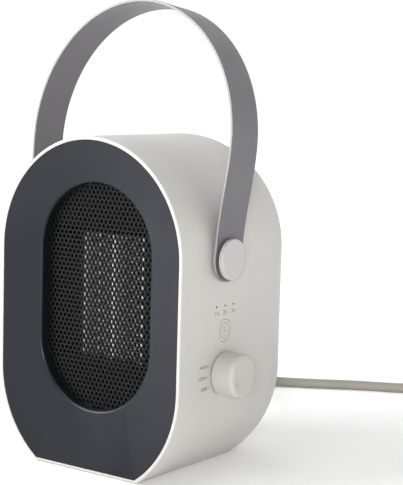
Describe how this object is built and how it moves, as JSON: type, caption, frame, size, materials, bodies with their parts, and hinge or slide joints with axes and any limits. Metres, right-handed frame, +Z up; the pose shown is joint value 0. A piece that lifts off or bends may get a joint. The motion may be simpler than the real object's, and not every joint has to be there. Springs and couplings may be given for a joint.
{
  "type": "ceramic space heater",
  "caption": "Compact ceramic fan heater: obround plastic body, dished dark front with a perforated grille, swinging strap handle, side knob and timer button, mains lead.",
  "frame": {"origin": "on the table under the middle of the body, on the lower face of the rubber pad", "axes": "+Z up, the front faces -Y, +X is the side with the controls"},
  "size_m": [0.311, 0.4392, 0.3454],
  "materials": {
    "shell": "satin",
    "panel": "satin",
    "grille": "satin",
    "duct": "matte",
    "rear_grille": "satin",
    "strap": "matte",
    "cap": "satin",
    "knob": "satin",
    "button": "satin",
    "light": "gloss",
    "fins": "raw",
    "bars": "raw",
    "strips": "raw",
    "frame": "matte",
    "impeller": "satin",
    "steel": "brushed",
    "screw": "zinc plated",
    "board": "gloss",
    "switch": "matte",
    "lead": "satin",
    "pad": "matte",
    "washer": "matte",
    "cord": "satin",
    "tie": "matte",
    "plug": "satin",
    "pin": "nickel plated"
  },
  "bodies": {
    "housing": {"housing_shell": "shell", "base_plate": "shell", "base_pad": "pad", "base_screws": "screw", "front_panel": "panel", "front_grille": "grille", "air_duct": "duct", "duct_screws": "screw", "ptc_fins": "fins", "ptc_bars": "bars", "contact_strips": "strips", "ptc_frame": "frame", "thermal_cutout": "steel", "fan_motor": "steel", "motor_bracket": "duct", "bracket_screws": "screw", "rear_grille": "rear_grille", "rear_screws": "screw", "pivot_washers": "washer", "pivot_cap_right": "cap", "pivot_cap_left": "cap", "pivot_screws": "screw", "rotary_switch": "switch", "control_board": "board", "board_screws": "screw", "push_switch": "switch", "status_lamps": "light", "light_pipes": "light", "tip_switch": "switch", "terminal_block": "switch", "internal_leads": "lead", "strain_relief": "cord", "cord_tube": "cord", "cord_coil": "cord", "coil_tie": "tie", "cord_lead": "cord", "plug_sleeve": "plug", "plug_body": "plug", "plug_pins": "pin", "earth_clips": "steel"},
    "fan": {"fan_impeller": "impeller", "motor_shaft": "steel"},
    "handle": {"handle_strap": "strap"},
    "knob": {"knob": "knob", "knob_shaft": "steel"},
    "button": {"timer_button": "button"},
    "plunger": {"tip_plunger": "switch"}
  },
  "joints": [
    {"name": "handle_swing", "type": "hinge", "parent": "housing", "child": "handle", "pos_m": [0, -0.0305, 0.1618], "axis": [1, 0, 0], "range_deg": [-83, 97]},
    {"name": "knob_turn", "type": "hinge", "parent": "housing", "child": "knob", "pos_m": [0.0855, -0.027, 0.0781], "axis": [1, 0, 0], "range_deg": [-52, 0]},
    {"name": "button_press", "type": "slide", "parent": "housing", "child": "button", "axis": [-1, 0, 0], "range_m": [0, 0.001], "stiffness_N_per_m": 1000, "springref_m": -0.0005},
    {"name": "fan_spin", "type": "hinge", "parent": "housing", "child": "fan", "pos_m": [0, 0, 0.1283], "axis": [0, 1, 0], "continuous": true},
    {"name": "plunger_slide", "type": "slide", "parent": "housing", "child": "plunger", "axis": [0, 0, 1], "range_m": [-0.003, 0], "stiffness_N_per_m": 80, "springref_m": -0.006}
  ]
}
